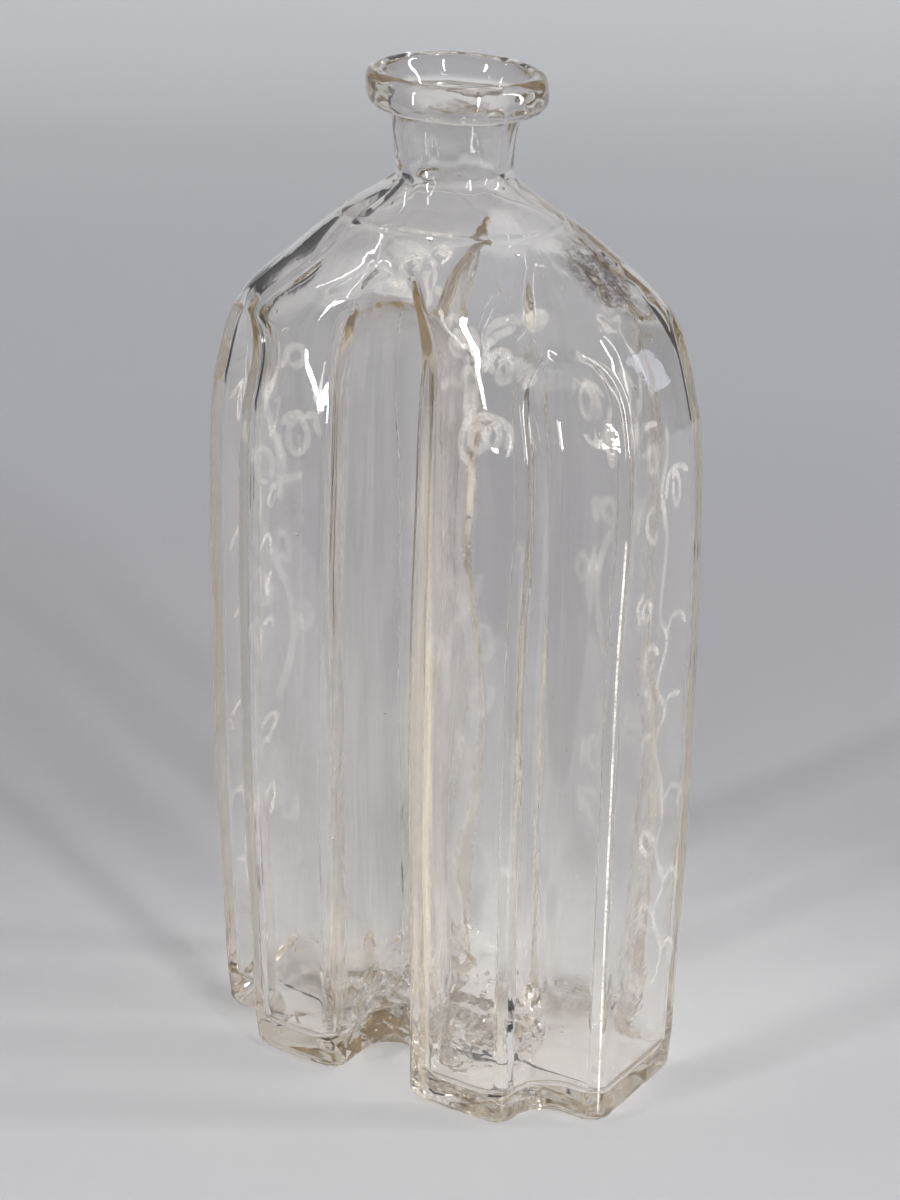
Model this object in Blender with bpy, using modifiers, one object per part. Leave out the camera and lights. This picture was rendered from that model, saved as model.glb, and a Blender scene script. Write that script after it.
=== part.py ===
"""Mould-blown glass bottle with grooved wide faces and fluted corners.

The bottle stands on +Z = 0 with its wide faces towards -Y and +Y. Its wall is one blown shell,
lofted between unlike plans: a lobed plan at the foot, the same plan through the body, an oval in
the domed shoulder and a circle in the neck. A tooled ring of glass sits round the flared mouth,
and the scar that the pontil rod left sits in the push-up under the base.
"""
import math

import bmesh
import bpy
import numpy as np

MM = 0.001

# Clearance between neighbouring pieces, and how far a cutter runs past what it cuts.
CLEARANCE = 0.3 * MM
OVERRUN = 2.0 * MM

# Heights, from the resting face upwards.
WALL_HEIGHT = 165.0 * MM
SHOULDER_HEIGHT = 49.0 * MM
NECK_HEIGHT = 17.8 * MM
LIP_HEIGHT = 7.8 * MM

# Body plan: the widest and deepest the lobed outline gets.
BODY_WIDTH = 113.2 * MM
BODY_DEPTH = 64.4 * MM
WALL = 2.7 * MM
FLOOR = 6.5 * MM
HEEL_RADIUS = 2.6 * MM
INNER_HEEL_RADIUS = 3.2 * MM

# Groove down the middle of each wide face.
GROOVE_HALF_WIDTH = 9.1 * MM
GROOVE_DEPTH = 19.2 * MM
GROOVE_BOTTOM_RADIUS = 6.6 * MM
GROOVE_MOUTH_RADIUS = 3.9 * MM
FRONT_GROOVE_SHIFT = -1.1 * MM
GROOVE_TOP = 201.5 * MM
GROOVE_ARCH = 24.0 * MM

# Hollow flute down each corner.
FLUTE_WIDTH = 17.8 * MM
FLUTE_DEPTH = 12.9 * MM
FLUTE_RADIUS = 9.4 * MM
RIDGE_RADIUS = 2.6 * MM
FLUTE_TOP = 186.5 * MM
FLUTE_ARCH = 14.0 * MM

# Neck, mouth and lip.
NECK_RADIUS = 12.4 * MM
NECK_WALL = 2.5 * MM
NECK_WAIST = 0.4 * MM
NECK_SWELL = 1.1 * MM
MOUTH_RADIUS = 15.6 * MM
RIM_THICKNESS = 1.9 * MM
LIP_RADIUS = 20.2 * MM
LIP_FOOT_RADIUS = 17.4 * MM

# Push-up under the base and the pontil scar in it.
KICK_RADIUS = 9.4 * MM
KICK_HEIGHT = 3.9 * MM
SCAR_RADIUS = 7.0 * MM
SCAR_THICKNESS = 1.1 * MM

# The sides: share of the wall height, of the body width and of the body depth.
SIDE_SHARES = [
    (0.00, 0.952, 0.956),
    (0.15, 0.959, 0.966),
    (0.42, 0.979, 1.000),
    (0.73, 0.991, 0.985),
    (0.91, 1.000, 0.940),
    (1.00, 0.988, 0.915),
]
# The shoulder: share of its height, and share of the way from the neck out to the side.
DOME_SHARES = [
    (0.00, 1.000),
    (0.265, 0.922),
    (0.51, 0.755),
    (0.714, 0.495),
    (0.878, 0.270),
    (1.00, 0.000),
]
# Levels of the loft, as shares of the wall height and of the shoulder height.
SIDE_LEVEL_SHARES = [0.15, 0.42, 0.73, 0.91]
OUTER_DOME_SHARES = [0.0, 0.12, 0.22, 0.30, 0.38, 0.44, 0.48, 0.54, 0.61, 0.68, 0.735, 0.775,
                     0.83, 0.88, 0.93, 0.97]
INNER_DOME_SHARES = [0.0, 0.17, 0.30, 0.40, 0.48, 0.58, 0.68, 0.78, 0.87, 0.95]
ROUND_START_SHARE = 0.55
ARCH_TIP_SHARE = 0.3
# Points on the way from the groove to the flute, and from the side's middle to the flute.
FACE_POINT_SHARES = [0.42, 0.84]
SIDE_POINT_SHARE = 0.8

# Facets in each fillet of a quarter of the plan.
BOTTOM_FACETS = 3
MOUTH_FACETS = 3
RIDGE_FACETS = 2
FLUTE_FACETS = 5
TURN_STEPS = 48

SHOULDER_Z = WALL_HEIGHT
NECK_Z = WALL_HEIGHT + SHOULDER_HEIGHT
LIP_Z = NECK_Z + NECK_HEIGHT
TOP_Z = LIP_Z + LIP_HEIGHT


def curve(rows, at, column):
    """Smooth curve through a table's rows, read at one place."""
    x = [row[0] for row in rows]
    y = [row[column] for row in rows]
    last = len(x) - 1
    slope = []
    for i in range(len(x)):
        low, high = max(i - 1, 0), min(i + 1, last)
        slope.append((y[high] - y[low]) / (x[high] - x[low]))
    at = min(max(at, x[0]), x[last])
    i = max(k for k in range(last) if x[k] <= at)
    span = x[i + 1] - x[i]
    t = (at - x[i]) / span
    return ((2 * t**3 - 3 * t**2 + 1) * y[i] + (t**3 - 2 * t**2 + t) * span * slope[i]
            + (3 * t**2 - 2 * t**3) * y[i + 1] + (t**3 - t**2) * span * slope[i + 1])


def half_sizes(z):
    """Half width and half depth of the body's outside at height z."""
    if z <= SHOULDER_Z:
        share = z / WALL_HEIGHT
        return (BODY_WIDTH / 2 * curve(SIDE_SHARES, share, 1),
                BODY_DEPTH / 2 * curve(SIDE_SHARES, share, 2))
    width, depth = half_sizes(SHOULDER_Z)
    spread = curve(DOME_SHARES, (z - SHOULDER_Z) / SHOULDER_HEIGHT, 1)
    return (NECK_RADIUS + (width - NECK_RADIUS) * spread,
            NECK_RADIUS + (depth - NECK_RADIUS) * spread)


def ease(t):
    t = min(max(t, 0.0), 1.0)
    return t * t * (3 - 2 * t)


def shares_along(points):
    """How far along a run of points each one lies, from 0 to 1."""
    steps = [math.dist(a, b) for a, b in zip(points, points[1:])]
    total = sum(steps)
    return [sum(steps[:i]) / total for i in range(len(points))]


def fillet(corner, towards_start, towards_end, radius, facets):
    """Arc that rounds a square corner of the plan, from its first side to its second."""
    points = []
    for i in range(facets + 1):
        turn = math.pi / 2 * i / facets
        back, on = 1 - math.sin(turn), 1 - math.cos(turn)
        points.append((corner[0] + radius * (towards_start[0] * back + towards_end[0] * on),
                       corner[1] + radius * (towards_start[1] * back + towards_end[1] * on)))
    return points


def lobed_quarter(width, depth, inset):
    """Front right quarter of the lobed plan, as its groove half and its corner flute."""
    half = GROOVE_HALF_WIDTH + inset
    bottom = GROOVE_BOTTOM_RADIUS + inset
    mouth = max(GROOVE_MOUTH_RADIUS - inset, GROOVE_MOUTH_RADIUS / 2)
    ridge = max(RIDGE_RADIUS - inset, RIDGE_RADIUS / 2)
    hollow = FLUTE_RADIUS + inset
    left, right, ahead, behind = (-1, 0), (1, 0), (0, -1), (0, 1)
    groove = [(0.0, -depth + GROOVE_DEPTH)]
    groove += fillet((half, -depth + GROOVE_DEPTH), left, ahead, bottom, BOTTOM_FACETS)
    groove += fillet((half, -depth), behind, right, mouth, MOUTH_FACETS)
    root = (width - FLUTE_WIDTH, -depth + FLUTE_DEPTH)
    flute = fillet((root[0], -depth), left, behind, ridge, RIDGE_FACETS)
    flute += fillet(root, ahead, right, hollow, FLUTE_FACETS)
    flute += fillet((width, root[1]), left, behind, ridge, RIDGE_FACETS)
    return groove, flute


def corner_radii(roundness):
    """Radii of the plan's plain round corner, which covers the flute and its ridges."""
    return ((FLUTE_WIDTH + RIDGE_RADIUS) * (1 - roundness),
            (FLUTE_DEPTH + RIDGE_RADIUS) * (1 - roundness))


def corner_point(width, depth, radii, share):
    """Point on the plain round corner, from its front end at 0 to its side end at 1."""
    turn = math.pi / 2 * share
    return (width - radii[0] * (1 - math.sin(turn)),
            -depth + radii[1] * (1 - math.cos(turn)))


def lead_in(face, bend, share):
    """Place a share of the way along a flat face and the bend after it: run on the face, and
    share of the bend."""
    reach = (face + bend) * share
    return min(reach, face), max(reach - face, 0.0) / bend if bend else 0.0


def arch(z, top, rise):
    """Width share of a hollow that ends in an arch, and the spread its points keep."""
    foot = top - rise
    if z <= foot:
        return 1.0, 1.0
    if z >= top:
        return 0.0, ARCH_TIP_SHARE + (1 - ARCH_TIP_SHARE) * ease((z - top) / (NECK_Z - top))
    share = math.sqrt(1 - ((z - foot) / rise) ** 2)
    return share, max(share, ARCH_TIP_SHARE)


def added(point, step, share):
    return (point[0] + step[0] * share, point[1] + step[1] * share)


def body_plan(z, inset):
    """Closed plan of the body at height z, inset evenly from the outside."""
    width, depth = half_sizes(z)
    full_width, full_depth = half_sizes(SHOULDER_Z)
    lost = max(full_depth - depth, 0.0) if z > SHOULDER_Z else 0.0
    groove_share, groove_spread = arch(z, GROOVE_TOP, GROOVE_ARCH)
    flute_share, flute_spread = arch(z, FLUTE_TOP, FLUTE_ARCH)
    groove_sink = groove_share**2 * max(1 - lost / GROOVE_DEPTH, 0.0)
    flute_sink = flute_share**2 * max(1 - lost / FLUTE_DEPTH, 0.0)

    width, depth = width - inset, depth - inset
    groove, flute = lobed_quarter(width, depth, inset)
    along_groove, along_flute = shares_along(groove), shares_along(flute)
    reach = groove[-1][0]

    # Points on the plain face and round corner, and the step from each into its hollow.
    roundness = ease((z - SHOULDER_Z - SHOULDER_HEIGHT * ROUND_START_SHARE)
                     / (SHOULDER_HEIGHT * (1 - ROUND_START_SHARE)))
    radii = corner_radii(roundness)
    plain, steps = [], []
    for point, along in zip(groove, along_groove):
        flat = (reach * along, -depth)
        plain.append((flat[0] * groove_spread, -depth))
        steps.append(((point[0] - flat[0]) * groove_sink, (point[1] + depth) * groove_sink))
    start = (1 - flute_spread) / 2
    edge = plain[-1][0]
    face, bend = width - radii[0] - edge, radii[0] * start * math.pi / 2
    for share in FACE_POINT_SHARES:
        run, into = lead_in(face, bend, share)
        corner = corner_point(width, depth, radii, start * into)
        plain.append(corner if into else (edge + run, -depth))
        steps.append((0.0, 0.0))
    for point, along in zip(flute, along_flute):
        home = corner_point(width, depth, radii, along)
        plain.append(corner_point(width, depth, radii, start + along * flute_spread))
        steps.append(((point[0] - home[0]) * flute_sink, (point[1] - home[1]) * flute_sink))
    run, into = lead_in(depth - radii[1], radii[1] * start * math.pi / 2, SIDE_POINT_SHARE)
    corner = corner_point(width, depth, radii, 1 - start * into)
    plain.append(corner if into else (width, -run))
    plain.append((width, 0.0))
    steps += [(0.0, 0.0)] * 2

    # The shoulder rounds the plan into an oval whose points spread evenly towards the neck.
    quarter = []
    for i, (point, step, along) in enumerate(zip(plain, steps, shares_along(plain))):
        even = i / (len(plain) - 1)
        turn = (along + (even - along) * roundness) * math.pi / 2
        oval = (width * math.sin(turn), -depth * math.cos(turn))
        rounded = added(point, (oval[0] - point[0], oval[1] - point[1]), roundness)
        quarter.append(added(rounded, step, 1.0))

    # The front groove sits a little off centre, and the shift eases off up the shoulder.
    open_share = 1.0 - ease((z - SHOULDER_Z) / SHOULDER_HEIGHT)
    moved = [1.0] * len(groove) + [1 - share for share in FACE_POINT_SHARES]
    moved += [0.0] * (len(quarter) - len(moved))
    shifts = [FRONT_GROOVE_SHIFT * open_share * share for share in moved]
    front_right = [(x + shift, y) for (x, y), shift in zip(quarter, shifts)]
    front_left = [(-x + shift, y) for (x, y), shift in zip(quarter, shifts)]
    plan = front_right[:-1]
    plan += [(x, -y) for x, y in reversed(quarter)][:-1]
    plan += [(-x, -y) for x, y in quarter][:-1]
    plan += front_left[::-1][:-1]
    return plan


def ring(radius):
    """Circle whose points line up with those of the shoulder's last plan."""
    plan = body_plan(NECK_Z, 0.0)
    return [(radius * x / math.hypot(x, y), radius * y / math.hypot(x, y)) for x, y in plan]


def slope(z):
    """Angle at which the shoulder leans in at height z, 0 on an upright wall."""
    step = SHOULDER_HEIGHT / 200
    low, high = half_sizes(z - step), half_sizes(min(z + step, NECK_Z))
    lean = (low[0] + low[1] - high[0] - high[1]) / 2 / (min(z + step, NECK_Z) - z + step)
    return math.atan(max(lean, 0.0))


def neck_outside():
    """Outer profile of the neck and its flared mouth, upwards."""
    swell = NECK_RADIUS + NECK_SWELL
    flare = MOUTH_RADIUS + RIM_THICKNESS / 2 - swell
    return [
        (NECK_RADIUS, NECK_Z),
        (NECK_RADIUS - NECK_WAIST, NECK_Z + NECK_HEIGHT * 0.35),
        (NECK_RADIUS, NECK_Z + NECK_HEIGHT * 0.68),
        (swell, LIP_Z),
        (swell + flare * 0.30, LIP_Z + LIP_HEIGHT * 0.38),
        (swell + flare * 0.68, LIP_Z + LIP_HEIGHT * 0.70),
        (swell + flare, TOP_Z - RIM_THICKNESS * 0.6),
    ]


def neck_inside():
    """Inner profile of the mouth and neck, downwards, NECK_WALL inside the outer one."""
    outside = neck_outside()
    inside = [
        (MOUTH_RADIUS + RIM_THICKNESS * 0.2, TOP_Z),
        (MOUTH_RADIUS - RIM_THICKNESS / 2, TOP_Z - RIM_THICKNESS * 0.35),
    ]
    for radius, z in reversed(outside[:-1]):
        inside.append((radius - NECK_WALL, z))
    return inside


def body_loops():
    """All plans of the shell with their heights: up the outside, over the rim, down the inside."""
    loops = []
    for turn_share in (0.0, 0.35, 0.7, 1.0):
        turn = turn_share * math.pi / 2
        z = HEEL_RADIUS * (1 - math.cos(turn))
        loops.append((body_plan(z, HEEL_RADIUS * (1 - math.sin(turn))), z))
    for share in SIDE_LEVEL_SHARES:
        loops.append((body_plan(WALL_HEIGHT * share, 0.0), WALL_HEIGHT * share))
    for share in OUTER_DOME_SHARES:
        z = SHOULDER_Z + SHOULDER_HEIGHT * share
        loops.append((body_plan(z, 0.0), z))
    loops += [(ring(radius), z) for radius, z in neck_outside()]
    loops += [(ring(radius), z) for radius, z in neck_inside()]
    for share in reversed(INNER_DOME_SHARES):
        z = SHOULDER_Z + SHOULDER_HEIGHT * share
        lean = slope(z)
        loops.append((body_plan(z, WALL * math.cos(lean)), z - WALL * math.sin(lean)))
    for share in reversed(SIDE_LEVEL_SHARES):
        loops.append((body_plan(WALL_HEIGHT * share, WALL), WALL_HEIGHT * share))
    for turn_share in (1.0, 0.65, 0.35, 0.0):
        turn = turn_share * math.pi / 2
        z = FLOOR + INNER_HEEL_RADIUS * (1 - math.cos(turn))
        loops.append((body_plan(z, WALL + INNER_HEEL_RADIUS * (1 - math.sin(turn))), z))
    return loops


def loft(name, loops):
    """Closed solid through a run of plans with as many points each, capped at both ends."""
    bm = bmesh.new()
    rows = [[bm.verts.new((x, y, z)) for x, y in plan] for plan, z in loops]
    for lower, upper in zip(rows, rows[1:]):
        for i in range(len(lower)):
            j = (i + 1) % len(lower)
            bm.faces.new((lower[i], lower[j], upper[j], upper[i]))
    bm.faces.new(rows[0][::-1])
    bm.faces.new(rows[-1])
    bmesh.ops.recalc_face_normals(bm, faces=bm.faces)
    mesh = bpy.data.meshes.new(name)
    bm.to_mesh(mesh)
    bm.free()
    return bpy.data.objects.new(name, mesh)


def turned(name, profile, closed):
    """A profile in the XZ plane with a Screw modifier that turns it about Z."""
    bm = bmesh.new()
    points = [bm.verts.new((radius, 0.0, z)) for radius, z in profile]
    for a, b in zip(points, points[1:]):
        bm.edges.new((a, b))
    if closed:
        bm.edges.new((points[-1], points[0]))
    mesh = bpy.data.meshes.new(name)
    bm.to_mesh(mesh)
    bm.free()
    obj = bpy.data.objects.new(name, mesh)
    screw = obj.modifiers.new("turn", "SCREW")
    screw.steps = screw.render_steps = TURN_STEPS
    screw.use_merge_vertices = True
    screw.merge_threshold = 0.00001
    screw.use_smooth_shade = True
    return obj


def arc_points(start, middle, end, count):
    """Smooth curve from start to end, pulled towards middle."""
    points = []
    for i in range(count + 1):
        t = i / count
        points.append(tuple((1 - t) ** 2 * s + 2 * t * (1 - t) * m + t * t * e
                            for s, m, e in zip(start, middle, end)))
    return points


def lip_profile():
    """Section of the lip ring: its rounded outside, top to bottom, then its seat on the flare."""
    seat = [(radius + CLEARANCE, z) for radius, z in neck_outside()[3:]]
    top = (seat[-1][0], seat[-1][1] + RIM_THICKNESS * 0.25)
    belly = (LIP_RADIUS, LIP_Z + LIP_HEIGHT * 0.52)
    foot = (LIP_FOOT_RADIUS, LIP_Z + LIP_HEIGHT * 0.02)
    outside = arc_points(top, (LIP_RADIUS, top[1]), belly, 5)
    outside += arc_points(belly, (LIP_RADIUS, foot[1]), foot, 4)[1:]
    return outside + seat


def kick_sphere():
    """Radius and centre height of the sphere that presses the push-up into the base."""
    radius = (KICK_RADIUS**2 + KICK_HEIGHT**2) / (2 * KICK_HEIGHT)
    return radius, KICK_HEIGHT - radius


def kick_cutter():
    radius, centre = kick_sphere()
    reach = math.acos((-OVERRUN - centre) / radius)
    profile = []
    for i in range(9):
        turn = reach * i / 8
        profile.append((radius * math.sin(turn), centre + radius * math.cos(turn)))
    profile[0] = (0.0, profile[0][1])
    profile.append((0.0, -OVERRUN))
    return turned("kick_cutter", profile, False)


def scar_profile():
    """Section of the pontil scar: its rough underside is hollow in the middle."""
    radius, centre = kick_sphere()
    top = []
    for i in range(7):
        out = SCAR_RADIUS * i / 6
        top.append((out, centre + math.sqrt(radius**2 - out**2) - CLEARANCE))
    edge = top[-1]
    rough_shares = [(1.04, 0.55), (0.93, 0.95), (0.80, 0.85), (0.66, 1.25), (0.50, 1.0), (0.30, 1.15)]
    under = []
    for out_share, drop_share in rough_shares:
        out = SCAR_RADIUS * out_share
        roof = centre + math.sqrt(radius**2 - out**2) - CLEARANCE
        under.append((out, max(roof - SCAR_THICKNESS * drop_share, edge[1] * 0.2)))
    return top + under + [(0.0, top[0][1] - SCAR_THICKNESS)]


def glass(name, colour, roughness):
    material = bpy.data.materials.new(name)
    material.use_nodes = True
    shader = material.node_tree.nodes["Principled BSDF"]
    shader.inputs["Base Color"].default_value = (*colour, 1.0)
    shader.inputs["Roughness"].default_value = roughness
    shader.inputs["Metallic"].default_value = 0.0
    shader.inputs["IOR"].default_value = 1.51
    shader.inputs["Transmission Weight"].default_value = 1.0
    material.diffuse_color = (*colour, 0.35)
    return material


def finish(obj, collection, material):
    collection.objects.link(obj)
    obj.data.materials.append(material)
    if not obj.modifiers:
        obj.data.shade_smooth()
        obj.data.set_sharp_from_angle(angle=math.radians(40))


def main():
    for obj in list(bpy.data.objects):
        bpy.data.objects.remove(obj, do_unlink=True)
    parts = bpy.data.collections.new("glass_bottle")
    cutters = bpy.data.collections.new("cutters")
    bpy.context.scene.collection.children.link(parts)
    bpy.context.scene.collection.children.link(cutters)

    body = loft("body", body_loops())
    finish(body, parts, glass("blown_glass", (0.86, 0.86, 0.84), 0.02))

    cutter = kick_cutter()
    cutters.objects.link(cutter)
    cutter.hide_render = True
    cutter.display_type = "WIRE"
    cut = body.modifiers.new("push_up", "BOOLEAN")
    cut.operation = "DIFFERENCE"
    cut.object = cutter

    lip = turned("lip_ring", lip_profile(), True)
    finish(lip, parts, glass("tooled_glass", (0.87, 0.86, 0.82), 0.02))

    scar = turned("pontil_scar", scar_profile(), False)
    finish(scar, parts, glass("torn_glass", (0.84, 0.83, 0.79), 0.35))


main()
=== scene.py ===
"""An engraved, mould-blown glass bottle on a pale grey sweep, lit by slim tube lamps in a dim room."""

import math

import bpy
import numpy as np
from mathutils import Matrix, Vector, noise
from mathutils.bvhtree import BVHTree


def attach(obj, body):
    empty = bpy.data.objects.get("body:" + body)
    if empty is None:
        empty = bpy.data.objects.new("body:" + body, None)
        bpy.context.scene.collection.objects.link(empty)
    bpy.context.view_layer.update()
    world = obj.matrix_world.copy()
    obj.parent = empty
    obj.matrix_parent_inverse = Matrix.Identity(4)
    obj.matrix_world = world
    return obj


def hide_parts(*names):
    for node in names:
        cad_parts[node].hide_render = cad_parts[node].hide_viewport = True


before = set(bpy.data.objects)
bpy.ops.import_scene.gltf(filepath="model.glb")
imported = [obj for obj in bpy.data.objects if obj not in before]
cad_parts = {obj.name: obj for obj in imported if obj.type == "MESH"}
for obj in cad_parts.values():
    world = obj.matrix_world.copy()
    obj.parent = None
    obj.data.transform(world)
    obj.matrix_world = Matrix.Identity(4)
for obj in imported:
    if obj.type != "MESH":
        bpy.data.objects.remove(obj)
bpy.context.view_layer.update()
MM = 0.001

# The photo's view: the camera's distance, bearing, height and roll.
DISTANCE = 0.7546
AZIMUTH, ELEVATION, ROLL = math.radians(32.39), math.radians(21.92), math.radians(0.576)

# The bottle's sizes. They are the CAD's but for the softer heels and foot corners, the crease, the
# neck's higher and wider foot, and the thicker glass of the neck and behind the grooves.
WALL_HEIGHT, SHOULDER_HEIGHT, NECK_HEIGHT = 165 * MM, 51 * MM, 15.8 * MM
BODY_WIDTH, BODY_DEPTH = 113.2 * MM, 64.4 * MM
WALL, FLOOR, HEEL, INNER_HEEL = 2.7 * MM, 6.5 * MM, 3.5 * MM, 3.6 * MM
GROOVE_HALF, GROOVE_DEPTH, GROOVE_BOTTOM, GROOVE_MOUTH = 9.1 * MM, 19.2 * MM, 6.6 * MM, 3.9 * MM
FRONT_GROOVE_SHIFT, GROOVE_TOP, GROOVE_ARCH = -1.1 * MM, 201.5 * MM, 24 * MM
GROOVE_THICKENING = 1.6
FLUTE_WIDTH, FLUTE_DEPTH, FLUTE_RADIUS = 17.8 * MM, 12.9 * MM, 9.4 * MM
FLUTE_TOP, FLUTE_ARCH = 186.5 * MM, 14 * MM
RIDGE, INNER_RIDGE, INNER_GROOVE_MOUTH = 2.6 * MM, 2.2 * MM, 2.4 * MM
FOOT_SOFTENING, FOOT_SOFT_HEIGHT = 2.2 * MM, 14 * MM
NECK_RADIUS, NECK_WALL = 13.1 * MM, 3.2 * MM
KICK_RADIUS, KICK_HEIGHT = 9.4 * MM, 3.9 * MM
CREASE_Z, CREASE_RISE, CREASE_WIDTH = 207.3 * MM, 0.22 * MM, 0.55 * MM
SHOULDER_Z = WALL_HEIGHT
NECK_Z = WALL_HEIGHT + SHOULDER_HEIGHT
LIP_Z = NECK_Z + NECK_HEIGHT
# Points this near to each other are one: they close the seams of a wrapped grid.
SEAM = 0.002 * MM

# Shares of the full width and depth up the walls, and of what narrows to the neck up the shoulder.
SIDE_SHARES = [(0.0, 0.952, 0.956), (0.15, 0.959, 0.966), (0.42, 0.979, 1.0),
               (0.73, 0.991, 0.985), (0.91, 1.0, 0.94), (1.0, 0.988, 0.915)]
DOME_SHARES = [(0.0, 1.0), (0.255, 0.922), (0.49, 0.755), (0.686, 0.495), (0.844, 0.27), (0.912, 0.14),
               (1.0, 0.0)]
# How far the wide faces bulge at each height, and how far from the middle each half of them crests:
# two nearly flat panels below, one round shoulder above.
CROWN = [(z * MM, bulge * MM, crest * MM) for z, bulge, crest in (
    (0, 0.3, 25), (140, 0.3, 25), (165, 0.8, 25), (175, 1.3, 25), (182, 1.9, 22.5), (187, 2.6, 19),
    (192, 3.4, 14), (196, 4.0, 7), (202, 4.2, 2), (216, 4.2, 4))]
# The neck's radius up its height, as far as the lip.
NECK_SHARES = [(0.0, NECK_RADIUS), (0.2, 13.1 * MM), (0.5, 13.5 * MM), (0.82, 14.1 * MM)]
# The share of the shoulder at which the plan starts to turn round, and the least spread of an arch.
ROUND_START, ARCH_TIP = 0.53, 0.3
# A plan's points across the flat beside its groove, and from its flute to the middle of its side.
FACE_POINTS, SIDE_POINTS = 9, 9
# The lip's section in mm, from the neck up the outside, over the rim and down the funnel.
LIP_SECTION = [(14.15, 229.0), (14.2, 230.3), (14.4, 231.1), (15.0, 231.5), (16.4, 231.5), (17.8, 231.6),
               (18.9, 232.0), (19.6, 232.8), (19.95, 233.9), (20.1, 235.2), (20.1, 236.6), (19.9, 237.8),
               (19.4, 238.7), (18.6, 239.3), (17.7, 239.6), (16.9, 239.55), (16.2, 239.1), (15.7, 238.3),
               (15.3, 237.2), (14.8, 236.0), (14.1, 234.7), (13.3, 233.3), (12.5, 231.9), (11.7, 230.6),
               (11.15, 229.4)]
# Hand-blown glass stands a little crooked: how far the shoulder sags to one side, and how far the
# lip tilts the other way and sits off the middle.
SHOULDER_TILT, LIP_TILT, LIP_SHIFT = 0.035, 0.042, 0.6 * MM


def ease(t):
    """Share 0 to 1, with a soft start and end."""
    t = min(max(t, 0.0), 1.0)
    return t * t * (3 - 2 * t)


def curve(rows, at, column):
    """Smooth curve through a table's rows, read at one place."""
    x = [row[0] for row in rows]
    y = [row[column] for row in rows]
    last = len(x) - 1
    rise = [(y[min(i + 1, last)] - y[max(i - 1, 0)]) / (x[min(i + 1, last)] - x[max(i - 1, 0)])
            for i in range(len(x))]
    at = min(max(at, x[0]), x[last])
    i = max(k for k in range(last) if x[k] <= at)
    span = x[i + 1] - x[i]
    t = (at - x[i]) / span
    return ((2 * t**3 - 3 * t**2 + 1) * y[i] + (t**3 - 2 * t**2 + t) * span * rise[i]
            + (3 * t**2 - 2 * t**3) * y[i + 1] + (t**3 - t**2) * span * rise[i + 1])


def half_sizes(z):
    """Half width and half depth of the outside at height z."""
    if z <= SHOULDER_Z:
        share = z / WALL_HEIGHT
        return (BODY_WIDTH / 2 * curve(SIDE_SHARES, share, 1),
                BODY_DEPTH / 2 * curve(SIDE_SHARES, share, 2))
    width, depth = half_sizes(SHOULDER_Z)
    spread = curve(DOME_SHARES, (z - SHOULDER_Z) / SHOULDER_HEIGHT, 1)
    return NECK_RADIUS + (width - NECK_RADIUS) * spread, NECK_RADIUS + (depth - NECK_RADIUS) * spread


def run(a, b, count):
    """Points between two others, without the ends."""
    return [(a[0] + (b[0] - a[0]) * i / count, a[1] + (b[1] - a[1]) * i / count)
            for i in range(1, count)]


def fillet(corner, first, last, radius, facets):
    """A rounded corner, from the direction it comes in by to the one it leaves by."""
    points = []
    for i in range(facets + 1):
        turn = math.pi / 2 * i / facets
        back, on = 1 - math.sin(turn), 1 - math.cos(turn)
        points.append((corner[0] + radius * (first[0] * back + last[0] * on),
                       corner[1] + radius * (first[1] * back + last[1] * on)))
    return points


def shares_along(points):
    """How far along a path each of its points is, from 0 to 1."""
    steps = np.hypot(*np.diff(np.array(points), axis=0).T)
    return np.concatenate([[0], np.cumsum(steps)]) / steps.sum()


def lobed_quarter(width, depth, inset, soft):
    """Front right quarter of the lobed plan: its groove half and its corner flute.
    Blown glass doesn't fill a mould's corners, so its ridges are softer at the foot."""
    mouth = max(GROOVE_MOUTH - inset, INNER_GROOVE_MOUTH) if inset else GROOVE_MOUTH
    ridge = (INNER_RIDGE if inset else RIDGE) + soft
    left, right, ahead, behind = (-1, 0), (1, 0), (0, -1), (0, 1)
    low = -depth + GROOVE_DEPTH
    half = GROOVE_HALF + inset * GROOVE_THICKENING
    groove = [(0.0, low)]
    bottom = fillet((half, low), left, ahead, GROOVE_BOTTOM + inset, 9)
    lip = fillet((half, -depth), behind, right, mouth, 9)
    groove += run(groove[0], bottom[0], 2) + bottom + run(bottom[-1], lip[0], 6) + lip
    root = (width - FLUTE_WIDTH, -depth + FLUTE_DEPTH)
    near = fillet((root[0], -depth), left, behind, ridge, 7)
    hollow = fillet(root, ahead, right, FLUTE_RADIUS + inset - soft, 14)
    far = fillet((width, root[1]), left, behind, ridge, 7)
    return groove, near + hollow + far


def corner_point(width, depth, radii, share):
    """Point on the plan's plain round corner, which covers the flute and its ridges."""
    turn = math.pi / 2 * share
    return (width - radii[0] * (1 - math.sin(turn)), -depth + radii[1] * (1 - math.cos(turn)))


def arch(z, top, rise):
    """Share of a hollow's width left at height z, and the spread that its points keep."""
    if z <= top - rise:
        return 1.0, 1.0
    if z >= top:
        return 0.0, ARCH_TIP + (1 - ARCH_TIP) * ease((z - top) / (NECK_Z - top))
    share = math.sqrt(1 - ((z - top + rise) / rise) ** 2)
    return share, max(share, ARCH_TIP)


def sink(z, top, rise, soft):
    """Share of a hollow's depth left at height z, its arch softened as blown glass softens it."""
    return sum(arch(z + step * soft, top, rise)[0] ** 2 for step in (-1, -0.5, 0, 0.5, 1)) / 5


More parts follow.
